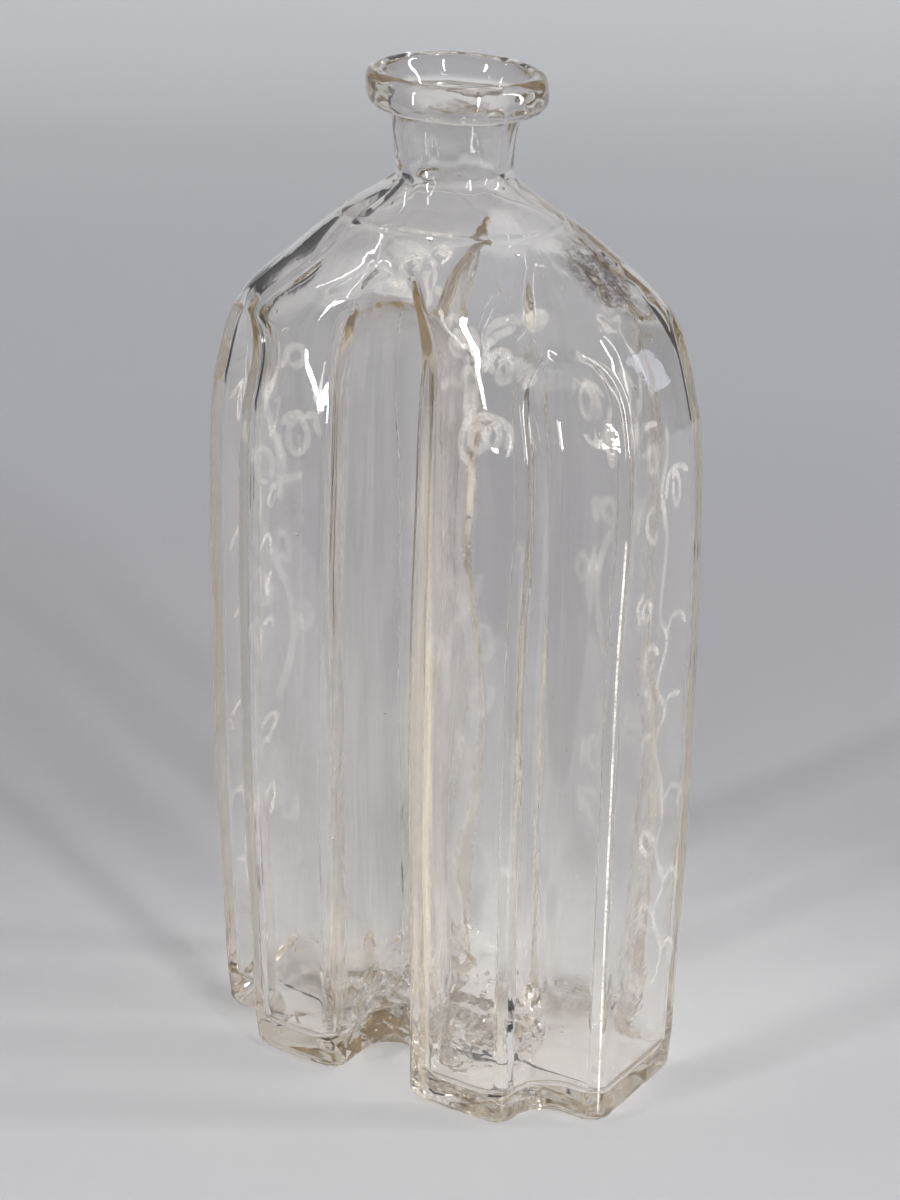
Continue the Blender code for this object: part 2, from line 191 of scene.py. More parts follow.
def bulge(x, near, far, z):
    """How far a wide face stands out at x, between the edges of its groove and its flute."""
    crown, crest = curve(CROWN, z, 1), min(max(curve(CROWN, z, 2), near), far - 5 * MM)
    if x >= crest:
        return crown * (1 - ((x - crest) / (far - crest)) ** 2)
    fall = min(crown, 1.6 * MM) * min((crest - near) / (10 * MM), 1.0)
    return crown - fall * min((crest - x) / max(crest - near, 0.1 * MM), 1.0) ** 2


def body_plan(z, inset):
    """Closed plan of the body at height z, inset evenly from its outside."""
    width, depth = half_sizes(z)
    lost = max(half_sizes(SHOULDER_Z)[1] - depth, 0.0) if z > SHOULDER_Z else 0.0
    groove_spread = arch(z, GROOVE_TOP, GROOVE_ARCH)[1]
    flute_spread = arch(z, FLUTE_TOP, FLUTE_ARCH)[1]
    groove_sink = sink(z, GROOVE_TOP, GROOVE_ARCH, 2 * MM) * max(1 - lost / GROOVE_DEPTH, 0.0)
    flute_sink = sink(z, FLUTE_TOP, FLUTE_ARCH, 3 * MM) * max(1 - lost / FLUTE_DEPTH, 0.0)
    roundness = ease((z - SHOULDER_Z - SHOULDER_HEIGHT * ROUND_START)
                     / (SHOULDER_HEIGHT * (1 - ROUND_START)))
    width, depth = width - inset, depth - inset
    radii = ((FLUTE_WIDTH + RIDGE) * (1 - roundness), (FLUTE_DEPTH + RIDGE) * (1 - roundness))
    soft = FOOT_SOFTENING * (1 - ease(z / FOOT_SOFT_HEIGHT))
    groove, flute = lobed_quarter(width, depth, inset, soft)
    reach = groove[-1][0]
    plain, steps = [], []
    for point, along in zip(groove, shares_along(groove)):
        plain.append((reach * along * groove_spread, -depth))
        steps.append(((point[0] - reach * along) * groove_sink, (point[1] + depth) * groove_sink))
    start = (1 - flute_spread) / 2
    edge = plain[-1][0]
    face, bend = width - radii[0] - edge, radii[0] * start * math.pi / 2
    for share in np.linspace(0, 1, FACE_POINTS + 2)[1:-1]:
        way = (face + bend) * share
        plain.append((edge + way, -depth) if way <= face or not bend
                     else corner_point(width, depth, radii, start * (way - face) / bend))
        steps.append((0.0, 0.0))
    for point, along in zip(flute, shares_along(flute)):
        home = corner_point(width, depth, radii, along)
        plain.append(corner_point(width, depth, radii, start + along * flute_spread))
        steps.append(((point[0] - home[0]) * flute_sink, (point[1] - home[1]) * flute_sink))
    face, bend = depth - radii[1], radii[1] * start * math.pi / 2
    for share in np.linspace(1, 0, SIDE_POINTS + 1)[1:]:
        way = (face + bend) * share
        plain.append((width, -way) if way <= face or not bend
                     else corner_point(width, depth, radii, 1 - start * (way - face) / bend))
        steps.append((0.0, 0.0))
    plain, steps = np.array(plain), np.array(steps)
    front, beyond = len(groove) + FACE_POINTS, -SIDE_POINTS
    far = plain[front, 0]
    plain[:front, 1] -= [bulge(x, edge, far, z) for x in plain[:front, 0]]
    plain[beyond:, 0] += curve(CROWN, z, 1) * 0.25 * (1 - (plain[beyond:, 1] / plain[beyond - 1, 1])**2)
    along, even = shares_along(plain), np.linspace(0, 1, len(plain))
    turn = (along + (even - along) * roundness) * math.pi / 2
    oval = np.stack([width * np.sin(turn), -depth * np.cos(turn)], 1)
    quarter = plain + (oval - plain) * roundness + steps
    moved = np.concatenate([np.ones(len(groove)), np.linspace(1, 0, FACE_POINTS + 2)[1:-1],
                            np.zeros(len(quarter) - front)])
    shift = np.zeros_like(quarter)
    shift[:, 0] = FRONT_GROOVE_SHIFT * (1 - ease((z - SHOULDER_Z) / SHOULDER_HEIGHT)) * moved
    mirror_x, mirror_y = np.array([-1, 1]), np.array([1, -1])
    return np.concatenate([(quarter + shift)[:-1], (quarter * mirror_y)[::-1][:-1],
                           (quarter * -1)[:-1], (quarter * mirror_x + shift)[::-1][:-1]])


def slope(z):
    """Angle at which the shoulder leans in at height z."""
    step = SHOULDER_HEIGHT / 200
    top = min(z + step, NECK_Z)
    low, high = half_sizes(z - step), half_sizes(top)
    return math.atan(max((low[0] + low[1] - high[0] - high[1]) / 2 / (top - z + step), 0.0))


def settle(points, z):
    """A level of the shell in its real, slightly leaning place: the shoulder of hand-blown glass
    sags to one side, and its lip leans the other way."""
    rows = np.column_stack([points, np.full(len(points), z)])
    lean = ease((z - 150 * MM) / (35 * MM)) * (1 - ease((z - 196 * MM) / (18 * MM)))
    rows[:, 2] += SHOULDER_TILT * rows[:, 0] * lean
    right = rows[:, 0] * math.cos(AZIMUTH) + rows[:, 1] * math.sin(AZIMUTH)
    rows[:, 2] -= LIP_TILT * right * ease((z - 226 * MM) / (6 * MM))
    rows[:, 0] += LIP_SHIFT * ease((z - 224 * MM) / (10 * MM))
    return rows


def ring(radius, z):
    """A round level, its points in line with those of the shoulder's last plan."""
    plan = body_plan(NECK_Z, 0.0)
    return settle(plan * (radius / np.hypot(*plan.T))[:, None], z)


def shell_levels():
    """Levels of the blown shell: up its outside, over the lip and down its inside."""
    levels = [settle(body_plan(0.0, HEEL * 1.25), 0.0)]
    for turn in np.linspace(0, math.pi / 2, 8):
        z = HEEL * (1 - math.cos(turn))
        levels.append(settle(body_plan(z, HEEL * (1 - math.sin(turn))), z))
    levels += [settle(body_plan(z, 0.0), z) for z in np.linspace(4.5 * MM, SHOULDER_Z, 42)]
    # Round the shoulder, with more levels where a crease stands out a little.
    for z in np.unique(np.concatenate([np.linspace(SHOULDER_Z, NECK_Z, 50)[1:],
                                       np.linspace(CREASE_Z - 2 * MM, CREASE_Z + 2 * MM, 13)])):
        rise = CREASE_RISE * math.exp(-((z - CREASE_Z) / CREASE_WIDTH) ** 2)
        levels.append(settle(body_plan(z, -rise), z))
    neck_shares = np.linspace(0, 0.82, 16)[1:-1]
    outside = [(curve(NECK_SHARES, share, 1), NECK_Z + NECK_HEIGHT * share) for share in neck_shares]
    levels += [ring(radius, z) for radius, z in outside]
    levels += [ring(radius * MM, z * MM) for radius, z in LIP_SECTION]
    levels += [ring(radius - NECK_WALL, z) for radius, z in reversed(outside[:-1])]
    for z in np.linspace(NECK_Z, SHOULDER_Z, 46):
        lean = slope(z)
        levels.append(settle(body_plan(z, WALL * math.cos(lean)), z - WALL * math.sin(lean)))
    levels += [settle(body_plan(z, WALL), z) for z in np.linspace(SHOULDER_Z, 12 * MM, 42)[1:]]
    for turn in np.linspace(math.pi / 2, 0, 9):
        z = FLOOR + INNER_HEEL * (1 - math.cos(turn))
        levels.append(settle(body_plan(z, WALL + INNER_HEEL * (1 - math.sin(turn))), z))
    levels.append(settle(body_plan(FLOOR, WALL + INNER_HEEL * 1.12), FLOOR))
    return np.array(levels)


def deselect():
    """Leaves no object selected."""
    bpy.ops.object.select_all(action="DESELECT")


def edit(obj):
    """Puts one object alone into edit mode, with nothing selected."""
    deselect()
    bpy.context.view_layer.objects.active = obj
    obj.select_set(True)
    bpy.ops.object.mode_set(mode="EDIT")
    bpy.ops.mesh.select_all(action="DESELECT")


def coordinates(obj):
    """The mesh's points as rows of an array."""
    points = np.empty(len(obj.data.vertices) * 3)
    obj.data.vertices.foreach_get("co", points)
    return points.reshape(-1, 3)


def place(obj, points):
    """Moves the mesh's points to the rows of an array."""
    obj.data.vertices.foreach_set("co", np.ascontiguousarray(points, dtype=float).ravel())
    obj.data.update()


def blow_shell():
    """The whole bottle as one closed wall of glass: a grid wrapped round the levels, its seam
    merged, the flat foot and the floor filled in."""
    levels = shell_levels()
    rows, columns = levels.shape[:2]
    deselect()
    bpy.ops.mesh.primitive_grid_add(x_subdivisions=columns, y_subdivisions=rows - 1, size=1)
    shell = bpy.context.object
    shell.name = "glass_shell"
    place(shell, np.concatenate([levels, levels[:, :1]], axis=1).reshape(-1, 3))
    edit(shell)
    bpy.ops.mesh.select_all(action="SELECT")
    bpy.ops.mesh.remove_doubles(threshold=SEAM)
    bpy.ops.object.mode_set(mode="OBJECT")
    add_push_up(shell)
    fill(shell, FLOOR)
    close_foot(shell)
    edit(shell)
    bpy.ops.mesh.select_all(action="SELECT")
    bpy.ops.mesh.normals_make_consistent(inside=False)
    bpy.ops.mesh.select_all(action="DESELECT")
    bpy.ops.object.mode_set(mode="OBJECT")
    bpy.ops.object.shade_smooth()
    return shell


def close_foot(shell):
    """The foot goes round the push-up, so it's filled as two halves that share a seam at each end."""
    open_points = [i for i, point in enumerate(coordinates(shell))
                   if abs(point[2]) < SEAM / 2 and abs(point[1]) < SEAM / 2]
    for side in (-1, 1):
        ends = [i for i in open_points if shell.data.vertices[i].co.x * side > 0]
        ends.sort(key=lambda i: abs(shell.data.vertices[i].co.x))
        edit(shell)
        bpy.ops.mesh.select_mode(type="VERT")
        bpy.ops.object.mode_set(mode="OBJECT")
        for i in ends[:2]:
            shell.data.vertices[i].select = True
        bpy.ops.object.mode_set(mode="EDIT")
        bpy.ops.mesh.edge_face_add()
        bpy.ops.object.mode_set(mode="OBJECT")
    for side in (-1, 1):
        fill(shell, 0.0, side)


def fill(obj, z, side=0):
    """Closes the open edges at one height with a face, or those on one side of the middle."""
    edit(obj)
    bpy.ops.mesh.select_mode(type="EDGE")
    bpy.ops.mesh.select_non_manifold(extend=False, use_wire=True, use_multi_face=False,
                                     use_non_contiguous=False, use_verts=False)
    bpy.ops.object.mode_set(mode="OBJECT")
    points = coordinates(obj)
    for i in np.flatnonzero([edge.select for edge in obj.data.edges]):
        ends = points[list(obj.data.edges[i].vertices)]
        obj.data.edges[i].select = bool((np.abs(ends[:, 2] - z) < 0.01 * MM).all()
                                        and (ends[:, 1] * side > -SEAM / 2).all())
    obj.data.update()
    bpy.ops.object.mode_set(mode="EDIT")
    bpy.ops.mesh.edge_face_add()
    bpy.ops.object.mode_set(mode="OBJECT")


def add_push_up(shell):
    """The shallow dome pressed up under the foot: a turned arc joined to the shell."""
    radius = (KICK_RADIUS**2 + KICK_HEIGHT**2) / (2 * KICK_HEIGHT)
    deselect()
    bpy.ops.mesh.primitive_grid_add(x_subdivisions=64, y_subdivisions=14, size=1)
    dome = bpy.context.object
    rows = []
    for share in np.linspace(0, 1, 15):
        out = KICK_RADIUS * (share if share < 0.95 else 1.0)
        z = max(math.sqrt(radius**2 - out**2) - radius + KICK_HEIGHT, 0.0)
        turns = np.linspace(0, 2 * math.pi, 65)
        rows.append(np.column_stack([out * np.cos(turns), out * np.sin(turns), np.full(65, z)]))
    place(dome, np.concatenate(rows))
    edit(dome)
    bpy.ops.mesh.select_all(action="SELECT")
    bpy.ops.mesh.remove_doubles(threshold=SEAM)
    bpy.ops.object.mode_set(mode="OBJECT")
    deselect()
    dome.select_set(True)
    shell.select_set(True)
    bpy.context.view_layer.objects.active = shell
    bpy.ops.object.join()


def wave(point, across, along, seed):
    """Smooth noise with waves of one length in mm across the bottle and another up it."""
    x, y, z = point / MM
    return noise.noise(Vector((x / across + seed, y / across, z / along)))


# Half the height of the uneven band where the neck meets the shoulder.
NECK_FOOT = 2.6 * MM
# Where the right shoulder's wall is thick, thin and full of seeds.
SEEDY = Vector((0.038, 0.002, 0.196))


def ripple(shell):
    """The unevenness of hand-blown glass: the outside follows its wooden mould with a faint
    ripple, and the inside runs in long soft streaks where the wall is thicker or thinner."""
    points = coordinates(shell)
    normals = np.empty(len(points) * 3)
    shell.data.vertex_normals.foreach_get("vector", normals)
    normals = normals.reshape(-1, 3)
    moves = np.zeros(len(points))
    for i, (point, normal) in enumerate(zip(points, normals)):
        z = point[2]
        inward = normal[0] * point[0] + normal[1] * point[1] < 0
        if z > LIP_Z - 2 * MM:
            moves[i] = 0.25 * wave(point, 9, 9, 3) + 0.14 * wave(point, 4, 4, 5)
        elif abs(z - NECK_Z) < NECK_FOOT:
            moves[i] = 0.5 * wave(point, 4, 3, 8) * ease(1.0 - abs(z - NECK_Z) / NECK_FOOT)
        elif z > NECK_Z:
            moves[i] = 0.2 * wave(point, 4, 30, 6) + 0.16 * wave(point, 6, 8, 8)
        elif inward and z > FLOOR:
            streaks = 0.45 * wave(point, 15, 45, 7) + 0.1 * wave(point, 8, 14, 9)
            nearness = math.exp(-((Vector(point) - SEEDY).length / (9 * MM)) ** 2)
            seedy = 1.9 * nearness * wave(point, 4, 4, 2)
            moves[i] = (streaks + seedy) * ease((z - FLOOR) / (6 * MM))
        else:
            moves[i] = 0.16 * wave(point, 17, 25, 1) * ease(z / (6 * MM))
            heel = ease(z / (1.5 * MM)) * (1 - ease((z - 6 * MM) / (6 * MM)))
            moves[i] += 0.15 * wave(point, 5, 5, 4) * heel
    place(shell, points + normals * moves[:, None] * MM)


def linear(colour):
    """A colour written as sRGB hex, turned to the linear values that shaders take."""
    parts = [int(colour[i:i + 2], 16) / 255 for i in (1, 3, 5)]
    return (*[c / 12.92 if c <= 0.04045 else ((c + 0.055) / 1.055) ** 2.4 for c in parts], 1.0)


def node(tree, kind, settings=None, **inputs):
    """Adds a node with its settings; an input is given a value, or a socket to be linked from."""
    made = tree.nodes.new(kind)
    for name, value in (settings or {}).items():
        setattr(made, name, value)
    for name, value in inputs.items():
        key = int(name[1:]) if name[0] == "_" else name.replace("_", " ")
        if isinstance(value, bpy.types.NodeSocket):
            tree.links.new(value, made.inputs[key])
        else:
            made.inputs[key].default_value = value
    return made


def new_material(name):
    """An empty material and its nodes. Pattern scales are per metre: 100.0 is 10 mm across."""
    material = bpy.data.materials.new(name)
    material.use_nodes = True
    material.node_tree.nodes.clear()
    return material, material.node_tree


def patch(tree, where, centre, tilt, reach, inner, outer):
    """Share, 1 inside and 0 outside, of a soft-edged ellipsoid in the glass."""
    near = node(tree, "ShaderNodeMapping", {"vector_type": "TEXTURE"}, Vector=where, Location=centre,
                Rotation=(0.0, tilt, 0.0), Scale=reach)
    far = node(tree, "ShaderNodeVectorMath", {"operation": "LENGTH"}, _0=near.outputs["Vector"])
    share = node(tree, "ShaderNodeMapRange", Value=far.outputs["Value"], From_Min=inner, From_Max=outer,
                 To_Min=1.0, To_Max=0.0)
    return share.outputs["Result"]


def blown_relief(tree, where):
    """The skin of blown glass, as a chain of bumps: a faint ripple from its wooden mould, chatter too
    fine to see but in the broken edges of highlights, seeds, and crumbs round the pontil scar."""
    bumps = []
    fine = node(tree, "ShaderNodeTexNoise", Vector=where, Scale=95.0, Detail=2.0, Roughness=0.45)
    bumps.append((0.25, 0.25 * MM, fine.outputs["Fac"]))
    stretch = node(tree, "ShaderNodeMapping", Vector=where, Scale=(1.0, 1.0, 2.6))
    chatter = node(tree, "ShaderNodeTexNoise", Vector=stretch.outputs["Vector"], Scale=420.0, Detail=1.0)
    bumps.append((1.0, 0.01 * MM, chatter.outputs["Fac"]))
    spots = node(tree, "ShaderNodeTexVoronoi", Vector=where, Scale=75.0)
    seeds = node(tree, "ShaderNodeMapRange", Value=spots.outputs["Distance"],
                 From_Min=0.0, From_Max=0.04, To_Min=1.0, To_Max=0.0)
    bumps.append((1.0, 0.3 * MM, seeds.outputs["Result"]))
    middle = patch(tree, where, (0.0, -0.004, 0.004), 0.0, (1.0, 1.0, 1.0), 0.012, 0.026)
    crumbs = node(tree, "ShaderNodeTexNoise", Vector=where, Scale=150.0, Detail=1.5, Roughness=0.5)
    crumbs = node(tree, "ShaderNodeMath", {"operation": "MULTIPLY"}, _0=crumbs.outputs["Fac"], _1=middle)
    bumps.append((1.0, 9.0 * MM, crumbs.outputs["Value"]))
    relief = None
    for strength, distance, height in bumps:
        below = {} if relief is None else {"Normal": relief}
        relief = node(tree, "ShaderNodeBump", Strength=strength, Distance=distance, Height=height,
                      **below).outputs["Normal"]
    return relief


def clear_share(tree, where):
    """Share of clear glass under a stale, cloudy bloom that is densest near the foot."""
    stretch = node(tree, "ShaderNodeMapping", Vector=where, Scale=(1.0, 1.0, 0.45))
    cloud = node(tree, "ShaderNodeTexNoise", Vector=stretch.outputs["Vector"], Scale=55.0, Detail=4.0,
                 Roughness=0.6)
    height = node(tree, "ShaderNodeSeparateXYZ", Vector=where).outputs["Z"]
    stale = node(tree, "ShaderNodeMapRange", Value=height, From_Min=0.06, From_Max=0.19,
                 To_Min=0.022, To_Max=0.002)
    bloom = node(tree, "ShaderNodeMapRange", Value=cloud.outputs["Fac"], From_Min=0.42, From_Max=0.66)
    bloom = node(tree, "ShaderNodeMath", {"operation": "MULTIPLY"}, _0=bloom.outputs["Result"],
                 _1=stale.outputs["Result"])
    return node(tree, "ShaderNodeMath", {"operation": "SUBTRACT"}, _0=0.999, _1=bloom.outputs["Value"])


def painted_glow_streaks(tree, where):
    """A painted cream glow beside the front groove, in streaks down it: painted light that stands in for
    the bright band the thick wall there shows.
    """
    painted_glow = patch(tree, where, (0.0125, -0.031, 0.075), 0.0, (0.0033, 0.0042, 0.11), 0.8, 1.05)
    threads = node(tree, "ShaderNodeMapping", Vector=where, Scale=(1.0, 1.0, 0.06))
    threads = node(tree, "ShaderNodeTexNoise", Vector=threads.outputs["Vector"], Scale=700.0, Detail=2.0)
    threads = node(tree, "ShaderNodeMapRange", Value=threads.outputs["Fac"], From_Min=0.3, From_Max=0.6,
                   To_Min=0.35, To_Max=1.0)
    return node(tree, "ShaderNodeMath", {"operation": "MULTIPLY"}, _0=painted_glow, _1=threads.outputs["Result"])


def brown_mottle(tree, where):
    """A darker brown patch on the right shoulder, broken up into small mottles."""
    mottle_patch = patch(tree, where, (0.0375, 0.0005, 0.199), 0.65, (0.0125, 0.009, 0.0055), 0.5, 1.1)
    mottling = node(tree, "ShaderNodeTexNoise", Vector=where, Scale=480.0, Detail=4.0, Roughness=0.65)
    mottling = node(tree, "ShaderNodeMapRange", Value=mottling.outputs["Fac"], From_Min=0.4, From_Max=0.54)
    return node(tree, "ShaderNodeMath", {"operation": "MULTIPLY"}, _0=mottle_patch, _1=mottling.outputs["Result"])


def painted_floor_shade(tree, where):
    """Painted shade on the inside of the floor, in two grey clouds: it stands in for the shadowed paper
    under the bottle, seen through the floor.
    """
    clouds = [patch(tree, where, centre, 0.0, (0.013, 0.0095, 0.006), 0.45, 1.1)
              for centre in ((-0.0415, -0.003, 0.007), (0.02, 0.022, 0.007))]
    grain = node(tree, "ShaderNodeTexNoise", Vector=where, Scale=170.0, Detail=3.0, Roughness=0.6)
    grain = node(tree, "ShaderNodeMapRange", Value=grain.outputs["Fac"], From_Min=0.36, From_Max=0.58)
    both = node(tree, "ShaderNodeMath", {"operation": "ADD"}, _0=clouds[0], _1=clouds[1])
    return node(tree, "ShaderNodeMath", {"operation": "MULTIPLY", "use_clamp": True},
                _0=both.outputs["Value"], _1=grain.outputs["Result"])


def blown_glass():
    """Old soda-lime glass, blown in a wooden mould: nearly colourless, a warm grey where it is
    thick, with a faint ripple that bends what shows through it."""
    material, tree = new_material("blown_soda_glass")
    where = node(tree, "ShaderNodeTexCoord").outputs["Object"]
    # Painted light: a cream tint and less clear glass beside the front groove stand in for the bright
    # band of the thick groove wall.
    painted_glow = painted_glow_streaks(tree, where).outputs["Value"]
    glow_scatter = node(tree, "ShaderNodeMath", {"operation": "MULTIPLY"}, _0=painted_glow, _1=0.17)
    clean = node(tree, "ShaderNodeMath", {"operation": "SUBTRACT"},
                 _0=clear_share(tree, where).outputs["Value"], _1=glow_scatter.outputs["Value"])
    tint = linear("#fffefd")
    # Tints over the clear glass: the painted cream glow, a brown mottle, and painted shade in grey
    # clouds on the floor.
    for share, colour in ((painted_glow, "#fdf3e0"), (brown_mottle(tree, where).outputs["Value"], "#7c7266"),
                          (painted_floor_shade(tree, where).outputs["Value"], "#b9b4b0")):
        tint = node(tree, "ShaderNodeMixRGB", _0=share, _1=tint, _2=linear(colour)).outputs["Color"]
    clear = node(tree, "ShaderNodeBsdfPrincipled", Base_Color=tint, Metallic=0.0, Roughness=0.0,
                 IOR=1.51, Transmission_Weight=clean.outputs["Value"], Normal=blown_relief(tree, where))
    # Light for the shadow passes straight walls and is thrown aside by steep ones.
    steep = node(tree, "ShaderNodeLayerWeight", Blend=0.5)
    passes = node(tree, "ShaderNodeMapRange", Value=steep.outputs["Facing"], From_Min=0.25, From_Max=0.9,
                  To_Min=0.9, To_Max=0.35)
    through = node(tree, "ShaderNodeBsdfTransparent", Color=passes.outputs["Result"])
    lamps = node(tree, "ShaderNodeLightPath")
    mix = node(tree, "ShaderNodeMixShader", _0=lamps.outputs["Is Shadow Ray"], _1=clear.outputs["BSDF"],
               _2=through.outputs["BSDF"])
    # The warm grey of its iron and manganese, which only thick glass shows.
    body = node(tree, "ShaderNodeVolumeAbsorption", Color=linear("#e8ddc6"), Density=16.0)
    node(tree, "ShaderNodeOutputMaterial", Surface=mix.outputs["Shader"], Volume=body.outputs["Volume"])
    return material


def engraved_glass():
    """Glass cut by a small copper wheel and left unpolished: fine-ground, so it scatters light and reads
    as a whitish stroke, thinner and more broken where the wheel ran light. The same frosting draws the
    pale ridge lines, one of them a painted highlight."""
    material, tree = new_material("wheel_engraved_glass_and_ridge_highlight")
    where = node(tree, "ShaderNodeTexCoord").outputs["Object"]
    grit = node(tree, "ShaderNodeTexNoise", Vector=where, Scale=1400.0, Detail=3.0, Roughness=0.6)
    press = node(tree, "ShaderNodeTexNoise", Vector=where, Scale=130.0, Detail=2.0, Roughness=0.5)
    both = node(tree, "ShaderNodeMath", {"operation": "MULTIPLY"}, _0=grit.outputs["Fac"],
                _1=press.outputs["Fac"])
    cover = node(tree, "ShaderNodeMapRange", Value=both.outputs["Value"], From_Min=0.14, From_Max=0.36,
                 To_Min=0.08, To_Max=0.4)
    strength = node(tree, "ShaderNodeAttribute", {"attribute_name": "press"})
    cover = node(tree, "ShaderNodeMath", {"operation": "MULTIPLY"}, _0=cover.outputs["Result"],
                 _1=strength.outputs["Fac"])
    bump = node(tree, "ShaderNodeBump", Strength=0.6, Distance=0.1 * MM, Height=grit.outputs["Fac"])
    surface = node(tree, "ShaderNodeBsdfPrincipled", Base_Color=linear("#f6f0e8"), Metallic=0.0,
                   Roughness=0.5, IOR=1.51, Alpha=cover.outputs["Value"], Normal=bump.outputs["Normal"])
    node(tree, "ShaderNodeOutputMaterial", Surface=surface.outputs["BSDF"])
    return material


def torn_glass():
    """Glass torn off the pontil rod: shiny but broken into small sharp facets."""
    material, tree = new_material("torn_soda_glass")
    where = node(tree, "ShaderNodeTexCoord").outputs["Object"]
    chips = node(tree, "ShaderNodeTexVoronoi", Vector=where, Scale=700.0)
    bump = node(tree, "ShaderNodeBump", Strength=1.0, Distance=1.2 * MM,
                Height=chips.outputs["Distance"])
    surface = node(tree, "ShaderNodeBsdfPrincipled", Base_Color=linear("#f3f2ee"), Metallic=0.0,
                   Roughness=0.12, IOR=1.51, Transmission_Weight=0.75, Normal=bump.outputs["Normal"])
    node(tree, "ShaderNodeOutputMaterial", Surface=surface.outputs["BSDF"])
    return material


shell = blow_shell()
ripple(shell)
shell.data.materials.append(blown_glass())
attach(shell, "root")
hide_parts("body", "lip_ring")
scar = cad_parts["pontil_scar"]
scar.material_slots[0].material = torn_glass()
SURFACE = BVHTree.FromObject(shell, bpy.context.evaluated_depsgraph_get())


class Panel:
    """One face of the bottle to engrave: across runs along it and up is height."""

    def __init__(self, out, across):
        self.out, self.across = Vector(out), Vector(across)

    def land(self, u, v):
        """The place on the glass behind a point of the drawing, and the way the glass faces."""
        start = self.across * u + Vector((0, 0, v)) + self.out * 0.2
        return SURFACE.ray_cast(start, -self.out)[:2]


# How far apart a stroke's points lie, and how far it stands off the glass.
SPACING, STAND_OFF = 0.6 * MM, 0.03 * MM


def smooth_path(points, spacing):
    """Points a fixed spacing apart on a smooth curve through the points of a stroke."""
    path = np.array(points, dtype=float)
    ends = np.vstack([2 * path[0] - path[1], path, 2 * path[-1] - path[-2]])
    fine = []
    for a, b, c, d in zip(ends, ends[1:], ends[2:], ends[3:]):
        for t in np.linspace(0, 1, 9)[:-1]:
            fine.append(0.5 * (2 * b + (c - a) * t + (2 * a - 5 * b + 4 * c - d) * t**2
                               + (3 * b - a - 3 * c + d) * t**3))
    fine.append(path[-1])
    fine = np.array(fine)
    along = np.concatenate([[0], np.cumsum(np.hypot(*np.diff(fine, axis=0).T))])
    count = max(int(along[-1] / spacing), 3)
    at = np.linspace(0, along[-1], count + 1)
    return np.column_stack([np.interp(at, along, fine[:, 0]), np.interp(at, along, fine[:, 1])])


def cut_stroke(panel, points, width, press, pieces):
    """One pass of the wheel, its points and width in mm: a ribbon on the glass that tapers at both
    ends and fades at its edges."""
    path = smooth_path(np.array(points) * MM, SPACING)
    way = np.gradient(path, axis=0)
    way /= np.hypot(*way.T)[:, None]
    across = np.column_stack([way[:, 1], -way[:, 0]])
    rows = []
    for i, (spot, side) in enumerate(zip(path, across)):
        end = min(i, len(path) - 1 - i) * SPACING
        half = width * MM / 2 * min(1.0, 0.3 + end / (1.5 * MM))
        half *= 1 + 0.3 * noise.noise(Vector((*spot, 0)) / (1.5 * MM))
        row = [panel.land(*(spot + side * half * share)) for share in (-1, -0.55, 0, 0.55, 1)]
        if any(landed is None or facing.dot(panel.out) < 0.1 for landed, facing in row):
            continue
        rows.append([landed + facing * STAND_OFF for landed, facing in row])
    if len(rows) < 3:
        return
    first = (rows[0][1] - rows[0][0]).cross(rows[1][0] - rows[0][0])
    if first.dot(panel.out) < 0:
        rows = [row[::-1] for row in rows]
    deselect()
    bpy.ops.mesh.primitive_grid_add(x_subdivisions=4, y_subdivisions=len(rows) - 1, size=1)
    ribbon = bpy.context.object
    place(ribbon, np.array([spot for row in rows for spot in row]))
    cover = ribbon.data.attributes.new("press", "FLOAT", "POINT")
    cover.data.foreach_set("value", np.tile([0, press, press, press, 0], len(rows)))
    pieces.append(ribbon)


# The engraved drawing: each stroke runs through points in mm, across its face and up it.
LEFT_SPRIG = [
    [(-25.9, 143.7), (-25.7, 148.5), (-26.3, 155.4), (-28.3, 160.9), (-30.2, 166.3),
     (-30.4, 169.7), (-29.4, 172.9), (-26.8, 175), (-24.2, 176.2)],
    [(-23.6, 175.9), (-24.6, 177.9), (-23, 180.1), (-20.7, 180.1), (-19.9, 178), (-21.5, 175.9),
     (-23.6, 175.9)],
    [(-24.3, 149.2), (-25.2, 154.5), (-27.2, 159.9)],
    [(-21.5, 163.9), (-23.5, 161.2), (-23.5, 157.9), (-22.1, 155.8), (-19.9, 156.8),
     (-18.7, 159.8), (-19.6, 162.9), (-21.5, 163.9)],
    [(-25.5, 161.5), (-23.8, 163.9), (-21, 165), (-19.3, 163.9)],
    [(-19.6, 164.3), (-17.1, 165.3), (-16.2, 162.7), (-15.4, 160.5)],
    [(-33.9, 151), (-32.8, 153.6), (-30.5, 155), (-28.5, 153.8), (-27.9, 150.8), (-28.5, 148.4)],
    [(-31.1, 153.2), (-32.2, 150.7), (-31.3, 147.3), (-29.3, 147.2)],
    [(-28.7, 145.9), (-24.6, 148.7), (-19.6, 151.2)],
    [(-35.9, 160.4), (-36.4, 157.5), (-35.4, 154.7)]]
